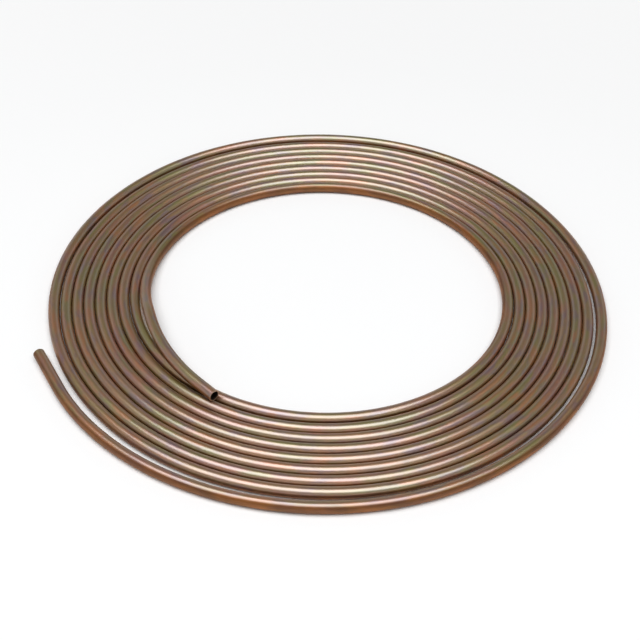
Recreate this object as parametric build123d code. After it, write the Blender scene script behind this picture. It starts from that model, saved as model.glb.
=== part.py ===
"""Coil of copper-nickel tubing: one bare tube wound as a flat, single-layer spiral that lies on the floor.

Millimetres, +Z up. The coil's axis is about Z and the tube touches the floor at z = 0.
Seen from above the tube winds outwards clockwise: left (-X), back (+Y), right (+X), front (-Y).
The route is made only of straight runs and tangent arcs: every turn is four quarter rings.
"""

import os
from math import asin, cos, radians, sin, sqrt

from build123d import *

# The tube: 1/4 inch copper-nickel tubing, a 25 ft coil
TUBE_OD = 6.35
TUBE_WALL = 0.9

# The eye in the middle, and how much further it reaches to the sides than to the front and back
TURNS = 9
EYE_DIAMETER = 199.6
EYE_OVAL = 0.7

# Clear space between neighbouring turns, on each side of the coil
CLEAR_LEFT = 0.12
CLEAR_BACK = 0.75
CLEAR_RIGHT = 0.10
CLEAR_FRONT = 0.74

# The first turn lies a little further from the second one at the front
CLEAR_FIRST = 0.6

# The outermost turn has sprung open: what its quarter rings gain in radius
LOOSE_LEFT = 1.9
LOOSE_BACK = 0.4
LOOSE_RIGHT = 2.7
LOOSE_FRONT = 2.9

# The outer end stands off at the front left: a bend of a share of the last ring's radius, then a straight run
TAIL_SHARE = 0.945
TAIL_BEND = 14.6
OUTER_STRAIGHT = 30.7

# The inner end leaves the floor along the first ring, levels out above the turns beside it and runs over them
FLOOR_BEND = 20.0
CLIMB_BEND = 42.6
LEVEL_RADIUS = 60.0
INNER_CLEARANCE = 0.20
INNER_SHARE = 1.25
INNER_BEND = 28.5
INNER_STRAIGHT = 12.0

BORE = TUBE_OD - 2 * TUBE_WALL
UP = Vector(0, 0, 1)
DIAGONAL = sqrt(0.5)

# What the rings gain in radius per turn, side rings and end rings, so that the spacing comes out on every side
spacing_left = TUBE_OD + CLEAR_LEFT
spacing_right = TUBE_OD + CLEAR_RIGHT
spacing_back = TUBE_OD + CLEAR_BACK
spacing_front = TUBE_OD + CLEAR_FRONT
sideways = (spacing_left + spacing_right) / 2
endways = (spacing_back + spacing_front) / 2
spread = (endways - sideways) / (2 * DIAGONAL - 1)
side_gain = (sideways + endways + spread) / 2
end_gain = (sideways + endways - spread) / 2

# Radii of the four rings of the first turn; what the turns shift by is in the right and front ones
middle_radius = (EYE_DIAMETER + TUBE_OD) / 2
oval = EYE_OVAL / (2 * DIAGONAL - 1) / 2
shift_front = (spacing_front - spacing_back) / (4 * DIAGONAL)
shift_left = (side_gain - end_gain) / 2 + (spacing_left - side_gain) / (2 * DIAGONAL)
first_left = middle_radius - oval
first_back = middle_radius + oval + end_gain / 4
first_right = middle_radius - oval + side_gain / 2 + shift_front
first_front = middle_radius + oval + end_gain * 3 / 4 + shift_left
first_gap = CLEAR_FIRST / (2 * DIAGONAL)


def arc(start, heading, inward, radius, angle):
    """An arc that leaves start along heading and bends towards inward: the edge, its end and the heading there."""
    half = radians(angle / 2)
    full = radians(angle)
    middle = start + heading * (radius * sin(half)) + inward * (radius * (1 - cos(half)))
    end = start + heading * (radius * sin(full)) + inward * (radius * (1 - cos(full)))
    return ThreePointArc(start, middle, end), end, heading * cos(full) + inward * sin(full)


def level_arc(start, heading, radius, angle):
    """A level arc that bends right, as the coil does on its way outwards."""
    return arc(start, heading, heading.cross(UP), radius, angle)


# The rings from the back of the first turn to the front of the last one
ring_start = Vector(-DIAGONAL, DIAGONAL, 0) * first_left + UP * (TUBE_OD / 2)
ring_heading = Vector(DIAGONAL, DIAGONAL, 0)
point = ring_start
heading = ring_heading
outward_edges = []
for turn in range(1, TURNS + 1):
    gained = turn - 1
    left_radius = first_left + side_gain * gained
    back_radius = first_back + end_gain * gained
    right_radius = first_right + side_gain * gained
    front_radius = first_front + end_gain * gained
    if turn > 1:
        right_radius += first_gap
    if turn > 2:
        left_radius += first_gap
    if turn == TURNS:
        left_radius += LOOSE_LEFT
        back_radius += LOOSE_BACK
        right_radius += LOOSE_RIGHT
        front_radius += LOOSE_FRONT
    rings = [back_radius, right_radius, front_radius]
    if turn > 1:
        rings.insert(0, left_radius)
    for radius in rings:
        edge, point, heading = level_arc(point, heading, radius, 90)
        outward_edges.append(edge)

# The outer end
edge, point, outer_heading = level_arc(point, heading, front_radius * TAIL_SHARE, TAIL_BEND)
outward_edges.append(edge)
outer_end = point + outer_heading * OUTER_STRAIGHT
outward_edges.append(Line(point, outer_end))

# The inner end, walked from the first ring inwards. The left ring of the first turn starts on the floor and
# is then banked, so that it climbs. A short upright arc levels it one tube and a clearance above the turns.
inwards = ring_heading * -1
edge, point, heading = arc(ring_start, inwards, UP.cross(inwards), first_left, FLOOR_BEND)
inward_edges = [edge]
lift = TUBE_OD + INNER_CLEARANCE
reach = first_left * (1 - cos(radians(CLIMB_BEND)))
bank = lift / reach
for _ in range(6):
    slope = asin(bank * sin(radians(CLIMB_BEND)))
    bank = (lift - LEVEL_RADIUS * (1 - cos(slope))) / reach
slope = asin(bank * sin(radians(CLIMB_BEND)))
banked = UP.cross(heading) * sqrt(1 - bank**2) + UP * bank
edge, point, heading = arc(point, heading, banked, first_left, CLIMB_BEND)
inward_edges.append(edge)
level = Vector(heading.X, heading.Y, 0).normalized()
downward = level * sin(slope) - UP * cos(slope)
edge, point, heading = arc(point, heading, downward, LEVEL_RADIUS, slope / radians(1))
inward_edges.append(edge)
edge, point, heading = arc(point, level, UP.cross(level), first_left * INNER_SHARE, INNER_BEND)
inward_edges.append(edge)
inner_end = point + heading * INNER_STRAIGHT
inward_edges.append(Line(point, inner_end))

# One tube along the whole route, cut square at both ends
route = Wire(inward_edges[::-1] + outward_edges)
end_plane = Plane(origin=inner_end, z_dir=heading * -1)
section = Sketch() + end_plane * (Circle(TUBE_OD / 2) - Circle(BORE / 2))
tube = sweep(section, path=route)

# The middle of the bounding box goes to X = Y = 0 and the floor to Z = 0
box = tube.bounding_box()
shift = Vector(-box.center().X, -box.center().Y, -box.min.Z)
tube = tube.moved(Location(shift))

os.makedirs("parts", exist_ok=True)
export_step(tube, "parts/tube_coil.step")

# What was made
print("solids", len(tube.solids()), "faces", len(tube.faces()), "valid", tube.is_valid)
print("route length", round(route.length, 1))
print("volume", round(tube.volume, 1), "section x length", round(section.area * route.length, 1))
print("box", tube.bounding_box())
print("moved by", shift)
print("outer end", outer_end + shift, "heading", outer_heading)
print("inner end", inner_end + shift, "heading", heading)
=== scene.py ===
# %% [markdown]
# # A coil of copper-nickel tubing
# The object is one bare metal tube, wound flat into nine turns so that 7.6 m of it can be carried
# and shelved. It lies on the floor. Its inner end lies over the turns beside it, and its outer end
# has sprung free at the front left.
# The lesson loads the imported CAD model, draws the same tube again with a finer skin and a worn
# metal finish, and sets up a floor, lights and a camera.

from math import asin, ceil, cos, degrees, radians, sin, sqrt

import bpy
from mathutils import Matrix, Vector


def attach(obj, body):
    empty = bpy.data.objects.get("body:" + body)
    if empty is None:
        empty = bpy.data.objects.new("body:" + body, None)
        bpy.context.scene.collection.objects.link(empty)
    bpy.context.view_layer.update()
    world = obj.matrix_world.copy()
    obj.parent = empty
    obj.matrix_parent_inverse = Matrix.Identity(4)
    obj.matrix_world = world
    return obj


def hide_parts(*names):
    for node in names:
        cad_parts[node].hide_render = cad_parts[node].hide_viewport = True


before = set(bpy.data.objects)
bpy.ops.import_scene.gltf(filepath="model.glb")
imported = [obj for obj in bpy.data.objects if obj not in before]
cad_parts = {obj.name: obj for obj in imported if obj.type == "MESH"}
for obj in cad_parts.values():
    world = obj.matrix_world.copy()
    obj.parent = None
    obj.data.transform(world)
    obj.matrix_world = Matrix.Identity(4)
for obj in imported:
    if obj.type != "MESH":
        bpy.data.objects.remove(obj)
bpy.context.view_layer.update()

# %% [markdown]
# ## Facts of the tube
# Everything here is in metres, as Blender is, and written in millimetres so that it can be checked
# with a caliper. The sizes repeat those of the CAD source: a quarter-inch tube whose turns lie side
# by side with a little air between them, more at the front and back than at the sides, and a last
# turn that has sprung open.

# %% Facts of the tube
MM = 0.001
TUBE_OD = 6.35 * MM
TUBE_WALL = 0.9 * MM
# How much the edges of the two cut ends are broken
EDGE_BREAK = 0.2 * MM
TURNS = 9
EYE_DIAMETER = 199.6 * MM
# How much further the eye reaches to the sides than to the front and back
EYE_OVAL = 0.7 * MM
SPACING_LEFT = TUBE_OD + 0.12 * MM
SPACING_BACK = TUBE_OD + 0.75 * MM
SPACING_RIGHT = TUBE_OD + 0.10 * MM
SPACING_FRONT = TUBE_OD + 0.74 * MM
# The second turn leaves this much more room to the first one, at the front only
CLEAR_FIRST = 0.6 * MM
# What the quarter rings of the last turn gain in radius, because it has sprung open
LOOSE = {"left": 1.9 * MM, "back": 0.4 * MM, "right": 2.7 * MM, "front": 2.9 * MM}
# Where the middle of the eye lies in the frame, whose origin is the middle of the whole coil's box
EYE_PLACE = Vector((-3.12946 * MM, 2.95419 * MM, 0))
print("tube", TUBE_OD / MM, "mm outside,", round((TUBE_OD - 2 * TUBE_WALL) / MM, 2), "mm bore")

# %% [markdown]
# ## Radii of the quarter rings
# A hand-wound coil is never one clean spiral. Here each turn is four quarter rings, left, back,
# right and front, that meet in line. Every turn adds a fixed gain to the radius of its side rings
# and another to its end rings. Four unknowns, two gains and two small shifts, are solved so that
# the spacing comes out right on all four sides.

# %% Radii of the quarter rings
DIAGONAL = sqrt(0.5)
sideways = (SPACING_LEFT + SPACING_RIGHT) / 2
endways = (SPACING_BACK + SPACING_FRONT) / 2
spread = (endways - sideways) / (2 * DIAGONAL - 1)
side_gain = (sideways + endways + spread) / 2
end_gain = (sideways + endways - spread) / 2
shift_front = (SPACING_FRONT - SPACING_BACK) / (4 * DIAGONAL)
shift_left = (side_gain - end_gain) / 2 + (SPACING_LEFT - side_gain) / (2 * DIAGONAL)
middle_radius = (EYE_DIAMETER + TUBE_OD) / 2
oval = EYE_OVAL / (2 * DIAGONAL - 1) / 2
first_radius = {
    "left": middle_radius - oval,
    "back": middle_radius + oval + end_gain / 4,
    "right": middle_radius - oval + side_gain / 2 + shift_front,
    "front": middle_radius + oval + end_gain * 3 / 4 + shift_left,
}
gain = {"left": side_gain, "back": end_gain, "right": side_gain, "front": end_gain}
first_gap = CLEAR_FIRST / (2 * DIAGONAL)
print("first turn's radii in mm", {side: round(r / MM, 2) for side, r in first_radius.items()})

# %% [markdown]
# ## The turns
# The middle line of the tube is walked like a road: from a place, along a heading, round a bend of
# a given radius. One small function walks a bend in steps of at most a degree and a half, which
# keeps the facets of the skin far below a pixel.

# %% Walk the turns
UP = Vector((0, 0, 1))
BEND_STEP = radians(1.5)


def walk_bend(path, heading, towards, radius, angle):
    """Adds a bend to path, from heading over to the direction towards. Returns the new heading."""
    start = path[-1]
    steps = ceil(angle / BEND_STEP)
    for i in range(1, steps + 1):
        a = angle * i / steps
        path.append(start + heading * (radius * sin(a)) + towards * (radius * (1 - cos(a))))
    return heading * cos(angle) + towards * sin(angle)


def walk_straight(path, heading, length, steps):
    """Adds a straight run of that length to path."""
    start = path[-1]
    for i in range(1, steps + 1):
        path.append(start + heading * (length * i / steps))


ring_start = Vector((-DIAGONAL, DIAGONAL, 0)) * first_radius["left"] + UP * (TUBE_OD / 2)
ring_heading = Vector((DIAGONAL, DIAGONAL, 0))
outer_path = [ring_start]
heading = ring_heading
for turn in range(TURNS):
    for side in ("left", "back", "right", "front"):
        # The left ring of the first turn belongs to the inner end
        if turn == 0 and side == "left":
            continue
        radius = first_radius[side] + gain[side] * turn
        if side == "right" and turn > 0 or side == "left" and turn > 1:
            radius += first_gap
        if turn == TURNS - 1:
            radius += LOOSE[side]
        heading = walk_bend(outer_path, heading, heading.cross(UP), radius, radians(90))
print("rings walked:", len(outer_path), "points")

# %% [markdown]
# ## The two ends
# The outer end bends on for a short way and then runs straight, so it stands off the coil at the
# front left. The inner end is walked backwards from the first ring, so that it joins the ring in
# line. It leaves the floor on a banked bend, levels out one tube higher and runs over the turns
# beside it. Both runs stop short by the width of the broken edge, which is put on them later.

# %% Walk the two ends
TAIL_BEND = radians(14.6)
TAIL_SHARE = 0.945
OUTER_STRAIGHT = 30.7 * MM
OUTER_STEPS = 10
FLOOR_BEND = radians(20)
CLIMB_BEND = radians(42.6)
LEVEL_RADIUS = 60 * MM
INNER_BEND = radians(28.5)
INNER_SHARE = 1.25
INNER_STRAIGHT = 12 * MM
INNER_STEPS = 4
INNER_LIFT = TUBE_OD + 0.20 * MM
SLOPE_PASSES = 6

# The outer end goes on from the last ring, whose radius is still at hand
heading = walk_bend(outer_path, heading, heading.cross(UP), radius * TAIL_SHARE, TAIL_BEND)
walk_straight(outer_path, heading, OUTER_STRAIGHT - EDGE_BREAK, OUTER_STEPS)

# The bank of the climb and the slope that it ends on depend on each other, so each is worked out
# from the other a few times, until they agree
left_radius = first_radius["left"]
reach = left_radius * (1 - cos(CLIMB_BEND))
bank = INNER_LIFT / reach
for _ in range(SLOPE_PASSES):
    slope = asin(bank * sin(CLIMB_BEND))
    bank = (INNER_LIFT - LEVEL_RADIUS * (1 - cos(slope))) / reach
slope = asin(bank * sin(CLIMB_BEND))

inner_path = [ring_start]
backwards = -ring_heading
heading = walk_bend(inner_path, backwards, UP.cross(backwards), left_radius, FLOOR_BEND)
banked = UP.cross(heading) * sqrt(1 - bank**2) + UP * bank
heading = walk_bend(inner_path, heading, banked, left_radius, CLIMB_BEND)
level = Vector((heading.x, heading.y, 0)).normalized()
walk_bend(inner_path, heading, level * sin(slope) - UP * cos(slope), LEVEL_RADIUS, slope)
heading = walk_bend(inner_path, level, UP.cross(level), left_radius * INNER_SHARE, INNER_BEND)
walk_straight(inner_path, heading, INNER_STRAIGHT - EDGE_BREAK, INNER_STEPS)
print("climbs at", round(degrees(slope), 2), "degrees")

# %% [markdown]
# ## One route
# The inner end is turned round and put before the rings. So far the middle of the eye was the
# origin. Now every point moves along with the eye to its place in the frame.

# %% Join the route
route = [point + EYE_PLACE for point in inner_path[:0:-1] + outer_path]
tube_length = sum((b - a).length for a, b in zip(route, route[1:])) + 2 * EDGE_BREAK
print("route", len(route), "points,", round(tube_length, 4), "m")

# %% [markdown]
# ## A helper for nodes
# Geometry and shader trees are both built from nodes, settings and links, so one small function
# serves them all: it adds a node, sets its properties, and for each input either links a socket or
# writes a value.

# %% A helper for nodes


def add(tree, kind, inputs=None, **settings):
    """Adds a node of that kind to tree.

    inputs maps a socket's name or number to a value, or to the socket that feeds it.
    """
    made = tree.nodes.new(kind)
    for name, value in settings.items():
        setattr(made, name, value)
    for key, value in (inputs or {}).items():
        if isinstance(value, bpy.types.NodeSocket):
            tree.links.new(value, made.inputs[key])
        else:
            made.inputs[key].default_value = value
    return made


print("ready to add nodes")

# %% [markdown]
# ## The skin of the tube
# A drawn tube is one section swept along one line, so Geometry Nodes sweep a circle along the
# route, twice: once for the outside and once, with fewer steps, for the bore. Each point of the
# skin remembers how far along the tube it is and where it is on the section. With those two the
# finish can follow the tube round every turn.

# %% The tree's sizes and its route
tube_tree = bpy.data.node_groups.new("drawn_tube", "GeometryNodeTree")
sizes = {}
sockets = (
    ("Route", "NodeSocketGeometry"),
    ("Outer diameter", "NodeSocketFloat"),
    ("Wall", "NodeSocketFloat"),
    ("Edge break", "NodeSocketFloat"),
    ("Sides", "NodeSocketInt"),
    ("Bore steps", "NodeSocketInt"),
    ("Finish", "NodeSocketMaterial"),
)
for name, kind in sockets:
    socket = tube_tree.interface.new_socket(name, in_out="INPUT", socket_type=kind)
    sizes[name] = socket.identifier
tube_tree.interface.new_socket("Tube", in_out="OUTPUT", socket_type="NodeSocketGeometry")
given = add(tube_tree, "NodeGroupInput").outputs

outer_radius = {0: given["Outer diameter"], 1: 0.5}
outer_radius = add(tube_tree, "ShaderNodeMath", outer_radius, operation="MULTIPLY").outputs[0]
bore_radius = {0: outer_radius, 1: given["Wall"]}
bore_radius = add(tube_tree, "ShaderNodeMath", bore_radius, operation="SUBTRACT").outputs[0]
remembered = {"Curve": given["Route"]}
remembered = add(tube_tree, "GeometryNodeSetCurveNormal", remembered, mode="Z_UP").outputs[0]

# What every point of the route hands on to the skin round it
along = add(tube_tree, "GeometryNodeSplineParameter").outputs["Length"]
position = add(tube_tree, "GeometryNodeInputPosition").outputs[0]
run = add(tube_tree, "GeometryNodeInputTangent").outputs[0]
handed_on = (
    ("along", "FLOAT", along),
    ("centre", "FLOAT_VECTOR", position),
    ("run", "FLOAT_VECTOR", run),
)
for name, kind, value in handed_on:
    remembered = add(
        tube_tree,
        "GeometryNodeStoreNamedAttribute",
        {"Geometry": remembered, "Name": name, "Value": value},
        data_type=kind,
        domain="POINT",
    ).outputs[0]
print("tree takes", list(sizes))

# %% [markdown]
# ## Sweeping the outside and the bore
# The section's own place on its circle is stored before the sweep and comes through it.
# The bore uses the same number of sides, so that its ends can be joined to the outside point by
# point. Its faces are flipped, because its outside is the hole.

# %% Sweep the outside and the bore


def swept(curve, radius):
    """The skin that a circle of that radius leaves along curve."""
    circle = {"Resolution": given["Sides"], "Radius": radius}
    circle = add(tube_tree, "GeometryNodeCurvePrimitiveCircle", circle).outputs["Curve"]
    section = add(
        tube_tree,
        "GeometryNodeStoreNamedAttribute",
        {"Geometry": circle, "Name": "across", "Value": position},
        data_type="FLOAT_VECTOR",
        domain="POINT",
    ).outputs[0]
    sweep = {"Curve": curve, "Profile Curve": section}
    return add(tube_tree, "GeometryNodeCurveToMesh", sweep).outputs[0]


outside = swept(remembered, outer_radius)
coarse = {"Curve": remembered, "Count": given["Bore steps"]}
coarse = add(tube_tree, "GeometryNodeResampleCurve", coarse).outputs[0]
coarse = {"Curve": coarse}
coarse = add(tube_tree, "GeometryNodeSetCurveNormal", coarse, mode="Z_UP").outputs[0]
bore = add(tube_tree, "GeometryNodeFlipFaces", {"Mesh": swept(coarse, bore_radius)}).outputs[0]
print("swept", len(tube_tree.nodes), "nodes so far")

# %% [markdown]
# ## Where the cut ends go
# A tube cutter leaves a flat ring with a broken edge outside and inside. Every point of the skin
# knows its place on the middle line, so it also knows its spoke, the way out from that line.
# The flat ring stands one broken edge further out along the tube than the skin itself ends,
# backwards on the first half of the tube and forwards on the second.

# %% Places on the cut ends
read = {}
remembered_kinds = (
    ("along", "FLOAT"),
    ("centre", "FLOAT_VECTOR"),
    ("run", "FLOAT_VECTOR"),
    ("spoke", "FLOAT_VECTOR"),
    ("across", "FLOAT_VECTOR"),
)
for name, kind in remembered_kinds:
    named = add(tube_tree, "GeometryNodeInputNamedAttribute", {"Name": name}, data_type=kind)
    read[name] = named.outputs[0]
spoke = {0: position, 1: read["centre"]}
spoke = add(tube_tree, "ShaderNodeVectorMath", spoke, operation="SUBTRACT").outputs[0]
spoke = add(tube_tree, "ShaderNodeVectorMath", {0: spoke}, operation="NORMALIZE").outputs[0]
skin = add(
    tube_tree,
    "GeometryNodeStoreNamedAttribute",
    {"Geometry": outside, "Name": "spoke", "Value": spoke},
    data_type="FLOAT_VECTOR",
    domain="POINT",
).outputs[0]

first_half = add(
    tube_tree,
    "FunctionNodeCompare",
    {0: read["along"], 1: tube_length / 2},
    data_type="FLOAT",
    operation="LESS_THAN",
).outputs[0]
facing = {"Switch": first_half, "False": 1.0, "True": -1.0}
facing = add(tube_tree, "GeometryNodeSwitch", facing, input_type="FLOAT").outputs[0]
edge = given["Edge break"]
proud = add(tube_tree, "ShaderNodeMath", {0: facing, 1: edge}, operation="MULTIPLY").outputs[0]
proud = {0: read["run"], "Scale": proud}
proud = add(tube_tree, "ShaderNodeVectorMath", proud, operation="SCALE").outputs[0]
end_face = {0: read["centre"], 1: proud}
end_face = add(tube_tree, "ShaderNodeVectorMath", end_face, operation="ADD").outputs[0]
flat_outer = {0: outer_radius, 1: edge}
flat_outer = add(tube_tree, "ShaderNodeMath", flat_outer, operation="SUBTRACT").outputs[0]
flat_inner = {0: bore_radius, 1: edge}
flat_inner = add(tube_tree, "ShaderNodeMath", flat_inner, operation="ADD").outputs[0]
print("tree has", len(tube_tree.nodes), "nodes")

# %% [markdown]
# ## Closing the cut ends
# The open edge of the outside is extruded three times: over the outer bevel, across the flat ring,
# and down the inner bevel to where the bore begins. Merging by distance then welds the bore on, and
# the tube is one closed skin with a hole right through it.

# %% Close the cut ends
WELD_DISTANCE = 0.002 * MM
neighbours = add(tube_tree, "GeometryNodeInputMeshEdgeNeighbors").outputs[0]
open_edge = add(
    tube_tree,
    "FunctionNodeCompare",
    {2: neighbours, 3: 1},
    data_type="INT",
    operation="EQUAL",
).outputs[0]
in_section = {0: read["across"]}
in_section = add(tube_tree, "ShaderNodeVectorMath", in_section, operation="NORMALIZE").outputs[0]
# Radius of the next ring of points, the middle it stands round, and its share of the bright rim
rings = (
    (flat_outer, end_face, 1.0),
    (flat_inner, end_face, 0.0),
    (bore_radius, read["centre"], 0.0),
)
for ring_radius, middle, bright in rings:
    grown = {"Mesh": skin, "Selection": open_edge, "Offset Scale": 0.0}
    grown = add(tube_tree, "GeometryNodeExtrudeMesh", grown, mode="EDGES").outputs
    open_edge = grown["Top"]
    place = {0: read["spoke"], "Scale": ring_radius}
    place = add(tube_tree, "ShaderNodeVectorMath", place, operation="SCALE").outputs[0]
    place = {0: middle, 1: place}
    place = add(tube_tree, "ShaderNodeVectorMath", place, operation="ADD").outputs[0]
    skin = {"Geometry": grown["Mesh"], "Selection": open_edge, "Position": place}
    skin = add(tube_tree, "GeometryNodeSetPosition", skin).outputs[0]
    across = {0: in_section, "Scale": ring_radius}
    across = add(tube_tree, "ShaderNodeVectorMath", across, operation="SCALE").outputs[0]
    for name, kind, value in (("bright_rim", "FLOAT", bright), ("across", "FLOAT_VECTOR", across)):
        skin = add(
            tube_tree,
            "GeometryNodeStoreNamedAttribute",
            {"Geometry": skin, "Selection": open_edge, "Name": name, "Value": value},
            data_type=kind,
            domain="POINT",
        ).outputs[0]

joined = add(tube_tree, "GeometryNodeJoinGeometry")
for surface in (skin, bore):
    tube_tree.links.new(surface, joined.inputs[0])
welded = {"Geometry": joined.outputs[0], "Distance": WELD_DISTANCE}
welded = add(tube_tree, "GeometryNodeMergeByDistance", welded).outputs[0]
smooth = add(tube_tree, "GeometryNodeSetShadeSmooth", {0: welded}).outputs[0]
real = add(tube_tree, "GeometryNodeRealizeInstances", {0: smooth}).outputs[0]
dressed = {0: real, "Material": given["Finish"]}
dressed = add(tube_tree, "GeometryNodeSetMaterial", dressed).outputs[0]
add(tube_tree, "NodeGroupOutput", {0: dressed})
print("tree has", len(tube_tree.nodes), "nodes")

# %% [markdown]
# ## The finish: drawn copper-nickel, tarnished
# Copper-nickel with a tenth of nickel is drawn bare through a die. The die leaves fine lines along
# the tube, and months in the air leave a brown oxide whose thickness wanders, so the colour drifts
# between olive, rose, orange and plum. The metal under it is satin. The oxide bends light strongly
# and lays a white gloss over it.

# %% Colours and coordinates


def linear(code):
    """An sRGB hex colour as linear red, green, blue and alpha."""
    channels = [int(code[i : i + 2], 16) / 255 for i in (1, 3, 5)]
    curved = [c / 12.92 if c <= 0.04045 else ((c + 0.055) / 1.055) ** 2.4 for c in channels]
    return curved + [1.0]


BARE_METAL = linear("#AE7E47")
OLIVE_OXIDE = linear("#958634")
ROSE_OXIDE = linear("#AE6B54")
DARK_OXIDE = linear("#785639")
ORANGE_OXIDE = linear("#BE742F")
PLUM_OXIDE = linear("#8A6673")
# Painted shade and painted reflection: a dark brown low on the tubes and on the open sides, with
# rusty patches
PAINTED_SHADE_OXIDE = linear("#74492C")
PAINTED_SHADE_RUST = linear("#925C30")
# Painted shade: nearly black for the bore and the inside of each cut flat
BORE_PAINTED_SHADE = linear("#3A2E25")
FRESH_CUT = linear("#E0BC9A")

# Drawn copper-nickel tube: satin brown metal under a thin glossy oxide
finish = bpy.data.materials.new("tarnished_copper_nickel")
finish.use_nodes = True
shader_tree = finish.node_tree
shader_tree.nodes.clear()
metal = add(shader_tree, "ShaderNodeBsdfPrincipled", {"Metallic": 1.0})
add(shader_tree, "ShaderNodeOutputMaterial", {"Surface": metal.outputs[0]})

# The tube as it was before it was coiled: metres along it, and its section across. The section's
# first way points to the inside of a turn and its second way down to the floor.
tube_along = add(shader_tree, "ShaderNodeAttribute", attribute_name="along").outputs["Fac"]
tube_across = add(shader_tree, "ShaderNodeAttribute", attribute_name="across").outputs["Vector"]
ways = add(shader_tree, "ShaderNodeSeparateXYZ", {0: tube_across}).outputs
inward_way = ways["X"]
down_way = ways["Y"]
straight = {"X": tube_along, "Y": inward_way, "Z": down_way}
straight = add(shader_tree, "ShaderNodeCombineXYZ", straight).outputs[0]
print("colours of", finish.name, "written")

# %% [markdown]
# ## Drift of the oxide
# Each pattern below is a noise in the straight tube's own metres, squeezed so that one lump has a
# real length along the tube and a real width round it, from 12 mm by 3 mm up to 45 mm by 6 mm for
# the colours of the oxide. The lines of the die are 0.1 mm wide on the real tube and far too fine
# to show, so they are drawn 0.7 mm wide.

# %% Patterns along the tube
NOISE_ROUGHNESS = 0.55
# How far apart the patterns lie in the noise, so that no two of them look alike
STRIDE_ALONG = 7.31
STRIDE_ROUND = 3.17
# name: length along the tube, width round it, detail, a place of its own in the noise
lumps = {
    "long_drift": (45 * MM, 6 * MM, 2.0, 1),
    "short_drift": (12 * MM, 3 * MM, 2.0, 2),
    "rose_drift": (24 * MM, 5 * MM, 2.0, 3),
    "orange_drift": (18 * MM, 4 * MM, 2.0, 4),
    "plum_drift": (14 * MM, 4 * MM, 2.0, 7),
    "die_lines": (60 * MM, 0.7 * MM, 1.0, 5),
    "waves": (14 * MM, 5 * MM, 1.0, 6),
}
pattern = {}
for name, (length, width, detail, seed) in lumps.items():
    own_place = (seed * STRIDE_ALONG, seed * STRIDE_ROUND, 0)
    squeeze = (1 / length, 1 / width, 1 / width)
    fitted = {"Vector": straight, "Location": own_place, "Scale": squeeze}
    fitted = add(shader_tree, "ShaderNodeMapping", fitted).outputs[0]
    noise = {"Vector": fitted, "Scale": 1.0, "Detail": detail, "Roughness": NOISE_ROUGHNESS}
    pattern[name] = add(shader_tree, "ShaderNodeTexNoise", noise).outputs["Fac"]
print("patterns:", list(pattern))

# %% [markdown]
# ## Colour in layers
# The colour starts as the bare metal and takes each tint of the oxide in turn, where that tint's
# pattern is high. On a Mix node of colours, input 0 is the share, 6 and 7 are the two colours, and
# output 2 is the mixed one.

# %% Colour in layers
# pattern, value where the tint begins, value where it is full, how much there is then, the tint
tints = (
    ("long_drift", 0.38, 0.60, 1.00, OLIVE_OXIDE),
    ("rose_drift", 0.48, 0.66, 0.80, ROSE_OXIDE),
    ("short_drift", 0.50, 0.75, 0.55, DARK_OXIDE),
    ("plum_drift", 0.52, 0.68, 0.70, PLUM_OXIDE),
    ("orange_drift", 0.52, 0.68, 0.80, ORANGE_OXIDE),
    ("die_lines", 0.45, 0.80, 0.35, DARK_OXIDE),
)
colour = BARE_METAL
for name, begins, full, amount, tint in tints:
    share = {"Value": pattern[name], "From Min": begins, "From Max": full, "To Max": amount}
    share = add(shader_tree, "ShaderNodeMapRange", share).outputs["Result"]
    layer = {0: share, 6: colour, 7: tint}
    colour = add(shader_tree, "ShaderNodeMix", layer, data_type="RGBA").outputs[2]
print("tints laid:", len(tints))

# %% [markdown]
# ## Painted shade low on the tube
# From a little over the middle of the section down, each tube is painted a dark, dull brown as
# shade and as a dark reflection in place of the floor that the metal mirrors there. The two sides
# that lie open, inside the first turn and outside the last one, get the same. Rusty patches break
# it up.

# %% Painted shade low on the tube
PAINTED_SHADE_AMOUNT = 0.9
# How far over the middle of the section the painted shade begins; at the middle it is full
LOW_FROM = 1.4 * MM
# How far to the side of the section it begins on an open side, and where it is full
OPEN_FROM = 1.0 * MM
OPEN_FULL = 2.2 * MM
# Which side is open, -1 outside and 1 inside, and where along the tube that begins and is full
open_sides = ((-1, tube_length - 1.15, tube_length - 0.95), (1, 0.75, 0.65))
# Values of the pattern where the rusty patches begin and are full
RUST_FROM = 0.38
RUST_FULL = 0.62

# Share of the painted shade: full below the middle of the section and on the open sides
painted_shade = {"Value": down_way, "From Min": -LOW_FROM, "From Max": 0.0, "To Max": PAINTED_SHADE_AMOUNT}
painted_shade = add(shader_tree, "ShaderNodeMapRange", painted_shade).outputs["Result"]
for side, begins, full in open_sides:
    by_turn = {"Value": tube_along, "From Min": begins, "From Max": full, "To Max": PAINTED_SHADE_AMOUNT}
    by_turn = add(shader_tree, "ShaderNodeMapRange", by_turn).outputs["Result"]
    by_side = {"Value": inward_way, "From Min": side * OPEN_FROM, "From Max": side * OPEN_FULL}
    by_side = add(shader_tree, "ShaderNodeMapRange", by_side).outputs["Result"]
    share = {0: by_turn, 1: by_side}
    share = add(shader_tree, "ShaderNodeMath", share, operation="MULTIPLY").outputs[0]
    painted_shade = {0: painted_shade, 1: share}
    painted_shade = add(shader_tree, "ShaderNodeMath", painted_shade, operation="MAXIMUM").outputs[0]
rusty = {"Value": pattern["orange_drift"], "From Min": RUST_FROM, "From Max": RUST_FULL}
rusty = add(shader_tree, "ShaderNodeMapRange", rusty).outputs["Result"]
patchy_shade = {0: rusty, 6: PAINTED_SHADE_OXIDE, 7: PAINTED_SHADE_RUST}
patchy_shade = add(shader_tree, "ShaderNodeMix", patchy_shade, data_type="RGBA").outputs[2]
layer = {0: painted_shade, 6: colour, 7: patchy_shade}
colour = add(shader_tree, "ShaderNodeMix", layer, data_type="RGBA").outputs[2]
print("thick oxide full up to the middle of the section, and on", len(open_sides), "open sides")
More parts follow.
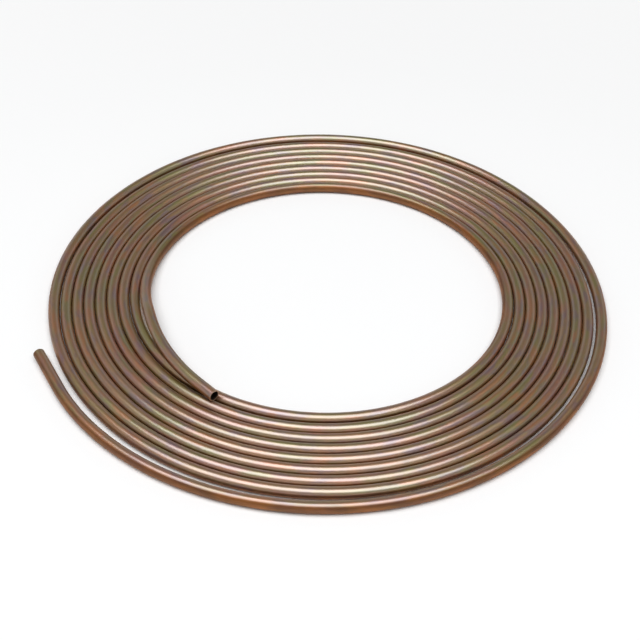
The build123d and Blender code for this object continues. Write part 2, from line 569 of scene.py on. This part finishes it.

# %% [markdown]
# ## The bore and the cut ends
# Inside the bore, and on the flat that the cutter left, the colour is painted nearly black as
# shade.
# Only the sharp outer rim of each cut is rubbed bright.

# %% The bore and the cut ends
# Painted shade darkens the bore and the inner part of each cut flat
BORE_FROM = TUBE_OD / 2 - 0.3 * MM
BORE_FULL = TUBE_OD / 2 - 0.5 * MM
off_axis = {0: tube_across}
off_axis = add(shader_tree, "ShaderNodeVectorMath", off_axis, operation="LENGTH").outputs["Value"]
bore_shade = {"Value": off_axis, "From Min": BORE_FROM, "From Max": BORE_FULL}
bore_shade = add(shader_tree, "ShaderNodeMapRange", bore_shade).outputs["Result"]
cut_rim = add(shader_tree, "ShaderNodeAttribute", attribute_name="bright_rim").outputs["Fac"]
for share, tint in ((bore_shade, BORE_PAINTED_SHADE), (cut_rim, FRESH_CUT)):
    layer = {0: share, 6: colour, 7: tint}
    colour = add(shader_tree, "ShaderNodeMix", layer, data_type="RGBA").outputs[2]
shader_tree.links.new(colour, metal.inputs["Base Color"])
print("bore dark from", round((TUBE_OD / 2 - BORE_FULL) / MM, 2), "mm in")

# %% [markdown]
# ## Gloss
# Where the oxide is dark the satin is duller, and the die lines break the gloss into streaks along
# the tube. A shallow bump of long waves bends the highlights a little, as straightening and winding
# bend the wall. The oxide is a clear coat over the metal, apart from where the painted shade lies
# dull.
# Copper oxide bends light more than glass does, so the index of the coat is high.

# %% Gloss
# Values of a pattern between which the roughness changes
PATTERN_LOW = 0.3
PATTERN_HIGH = 0.7
SATIN_CLEAN = 0.52
SATIN_DULL = 0.60
STREAK = 0.05
WAVE_HEIGHT = 0.08 * MM
WAVE_STRENGTH = 0.5
COAT_ROUGHNESS = 0.32
COAT_INDEX = 2.8

dull = {"Value": pattern["short_drift"], "From Min": PATTERN_LOW, "From Max": PATTERN_HIGH}
dull.update({"To Min": SATIN_CLEAN, "To Max": SATIN_DULL})
dull = add(shader_tree, "ShaderNodeMapRange", dull).outputs["Result"]
streaks = {"Value": pattern["die_lines"], "From Min": PATTERN_LOW, "From Max": PATTERN_HIGH}
streaks.update({"To Min": -STREAK, "To Max": STREAK})
streaks = add(shader_tree, "ShaderNodeMapRange", streaks).outputs["Result"]
roughness = {0: dull, 1: streaks}
roughness = add(shader_tree, "ShaderNodeMath", roughness, operation="ADD").outputs[0]
shader_tree.links.new(roughness, metal.inputs["Roughness"])
wavy = {"Height": pattern["waves"], "Distance": WAVE_HEIGHT, "Strength": WAVE_STRENGTH}
wavy = add(shader_tree, "ShaderNodeBump", wavy).outputs[0]
shader_tree.links.new(wavy, metal.inputs["Normal"])
# The coat is left off where the painted shade lies, so it stays dull there
glossy = add(shader_tree, "ShaderNodeMath", {0: 1.0, 1: painted_shade}, operation="SUBTRACT").outputs[0]
shader_tree.links.new(glossy, metal.inputs["Coat Weight"])
metal.inputs["Coat Roughness"].default_value = COAT_ROUGHNESS
metal.inputs["Coat IOR"].default_value = COAT_INDEX
print("finish has", len(shader_tree.nodes), "nodes")

# %% [markdown]
# ## Making the tube
# The route becomes a plain curve, the tree is set as its modifier with the real sizes, and the
# result is read back as an ordinary mesh. The curve and the modifier go, so nothing is left to be
# worked out again later.

# %% Make the tube
SIDES = 28
BORE_STEPS = 700
SHARP_ANGLE = radians(35)
line = bpy.data.curves.new("tube_route", "CURVE")
line.dimensions = "3D"
spline = line.splines.new("POLY")
spline.points.add(len(route) - 1)
for point, place in zip(spline.points, route):
    point.co = (*place, 1.0)
sweep = bpy.data.objects.new("tube_route", line)
bpy.context.collection.objects.link(sweep)
modifier = sweep.modifiers.new("drawn_tube", "NODES")
modifier.node_group = tube_tree
modifier[sizes["Outer diameter"]] = TUBE_OD
modifier[sizes["Wall"]] = TUBE_WALL
modifier[sizes["Edge break"]] = EDGE_BREAK
modifier[sizes["Sides"]] = SIDES
modifier[sizes["Bore steps"]] = BORE_STEPS
modifier[sizes["Finish"]] = finish
evaluated = sweep.evaluated_get(bpy.context.evaluated_depsgraph_get())
mesh = bpy.data.meshes.new_from_object(evaluated)
bpy.data.objects.remove(sweep)
mesh.name = "coiled_tube"
# The curve itself has no material, and leaves an empty slot before the tree's own
if mesh.materials[0] is None:
    mesh.materials.pop(index=0)
mesh.set_sharp_from_angle(angle=SHARP_ANGLE)
coiled_tube = bpy.data.objects.new("coiled_tube", mesh)
bpy.context.collection.objects.link(coiled_tube)
print("made", coiled_tube.name, "with", len(mesh.vertices), "points")

# %% [markdown]
# ## Measuring it
# A closed skin has two faces on every edge, and the signed volume of its faces is the volume of the
# metal. Both are worth printing: an open end or an inside-out face shows here at once.

# %% Measure the tube
mesh.calc_loop_triangles()
volume = sum(
    mesh.vertices[a].co.dot(mesh.vertices[b].co.cross(mesh.vertices[c].co)) / 6
    for a, b, c in (triangle.vertices for triangle in mesh.loop_triangles)
)
uses = [0] * len(mesh.edges)
for loop in mesh.loops:
    uses[loop.edge_index] += 1
print("triangles", len(mesh.loop_triangles), "volume in cm3", round(volume * 1e6, 2))
print("open edges", sum(n != 2 for n in uses), "materials", [m.name for m in mesh.materials])
print("attributes", [a.name for a in mesh.attributes])

# %% [markdown]
# ## Putting it in the frame
# The tube has no joint, so it rides on the one body of the record. It stands for the CAD tube, in
# the same place, and keeps the record's name for its finish.

# %% Put it in the frame
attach(coiled_tube, "root")
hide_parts("tube_coil")
print(coiled_tube.name, "rides on root in the place of tube_coil")

# %% [markdown]
# ## Floor
# A plain white sheet carries the coil and takes its soft shadow. The lamp fades with distance, so
# away from the coil the sheet is shown plain white to the camera and to what the metal mirrors,
# without adding light to the object.

# %% Floor
FLOOR_SIZE = 80.0
FADE_FROM = 0.28
FADE_TO = 0.80
# White paper: dead matt, with no gloss to mirror the coil
paper = bpy.data.materials.new("white_paper_floor")
paper.use_nodes = True
paper_tree = paper.node_tree
paper_tree.nodes.clear()
spot = add(paper_tree, "ShaderNodeTexCoord").outputs["Object"]
away = add(paper_tree, "ShaderNodeVectorMath", {0: spot}, operation="LENGTH").outputs["Value"]
far = {"Value": away, "From Min": FADE_FROM, "From Max": FADE_TO}
far = add(paper_tree, "ShaderNodeMapRange", far).outputs["Result"]
path = add(paper_tree, "ShaderNodeLightPath").outputs
seen = path["Is Camera Ray"]
for kind in ("Is Glossy Ray", "Is Transmission Ray"):
    seen = {0: seen, 1: path[kind]}
    seen = add(paper_tree, "ShaderNodeMath", seen, operation="MAXIMUM").outputs[0]
shown = add(paper_tree, "ShaderNodeMath", {0: seen, 1: far}, operation="MULTIPLY").outputs[0]
sheet = add(paper_tree, "ShaderNodeBsdfDiffuse", {"Color": linear("#FFFDFA")}).outputs[0]
white = {"Color": linear("#FFFFFF"), "Strength": 1.0}
white = add(paper_tree, "ShaderNodeEmission", white).outputs[0]
surface = add(paper_tree, "ShaderNodeMixShader", {0: shown, 1: sheet, 2: white}).outputs[0]
add(paper_tree, "ShaderNodeOutputMaterial", {"Surface": surface})
half = FLOOR_SIZE / 2
floor_mesh = bpy.data.meshes.new("floor")
corners = [(-half, -half, 0), (half, -half, 0), (half, half, 0), (-half, half, 0)]
floor_mesh.from_pydata(corners, [], [(0, 1, 2, 3)])
floor_mesh.materials.append(paper)
floor = bpy.data.objects.new("floor", floor_mesh)
bpy.context.collection.objects.link(floor)
print("floor", FLOOR_SIZE, "m wide")

# %% [markdown]
# ## Light
# The highlights run only along the front and the back of the coil, a little above the middle of
# each tube. A mirror at that slope looks almost straight up, so one wide soft box hangs overhead,
# a bit to the front. The world gives the rest: walls that are pale up to some 25 degrees, and a
# ceiling that is nearly dark. The turns at the sides mirror the walls on both flanks and the
# ceiling on top, which draws two stripes on each.

# %% Light
KEY_PLACE = Vector((-0.10, -0.60, 2.46))
KEY_WIDTH = 3.6
KEY_DEPTH = 2.2
KEY_POWER = 84.0
HORIZON_LEVEL = 0.43
ZENITH_LEVEL = 0.05
# Heights of a direction, as the sine of its slope, where the walls end and the ceiling begins
HORIZON_TO = 0.42
ZENITH_FROM = 0.62
key_light = bpy.data.lights.new("soft_box", "AREA")
key_light.shape = "RECTANGLE"
key_light.size = KEY_WIDTH
key_light.size_y = KEY_DEPTH
key_light.energy = KEY_POWER
key_light.color = linear("#F8FBFF")[:3]
key = bpy.data.objects.new("soft_box", key_light)
key.location = KEY_PLACE
key.rotation_euler = (-KEY_PLACE).to_track_quat("-Z", "Y").to_euler()
bpy.context.collection.objects.link(key)

world = bpy.data.worlds.new("pale_studio")
world.use_nodes = True
bpy.context.scene.world = world
world_tree = world.node_tree
world_tree.nodes.clear()
direction = add(world_tree, "ShaderNodeTexCoord").outputs["Generated"]
height = add(world_tree, "ShaderNodeSeparateXYZ", {0: direction}).outputs["Z"]
grade = {"Value": height, "From Min": HORIZON_TO, "From Max": ZENITH_FROM}
grade.update({"To Min": HORIZON_LEVEL, "To Max": ZENITH_LEVEL})
grade = add(world_tree, "ShaderNodeMapRange", grade).outputs["Result"]
studio = {"Color": linear("#FFFFFF"), "Strength": grade}
studio = add(world_tree, "ShaderNodeBackground", studio).outputs[0]
add(world_tree, "ShaderNodeOutputWorld", {"Surface": studio})
print("soft box", KEY_POWER, "W, world", HORIZON_LEVEL, "to", ZENITH_LEVEL)

# %% [markdown]
# ## Camera
# The place, the turn and the lens come from lining up the CAD route with the edges of the eye, the
# outer turn and the two ends in the picture. The frame is square, so the 36 mm sensor counts both
# ways.

# %% Camera
lens = bpy.data.cameras.new("camera")
lens.sensor_width = 36.0
lens.lens = 65.517
camera = bpy.data.objects.new("camera", lens)
camera.location = (-0.003129, -0.53003, 0.42949)
camera.rotation_euler = (radians(49.65602), radians(-1.12757), radians(1.0563))
bpy.context.collection.objects.link(camera)
bpy.context.scene.camera = camera
bpy.context.scene.view_settings.view_transform = "Standard"
print("lens", lens.lens, "mm")
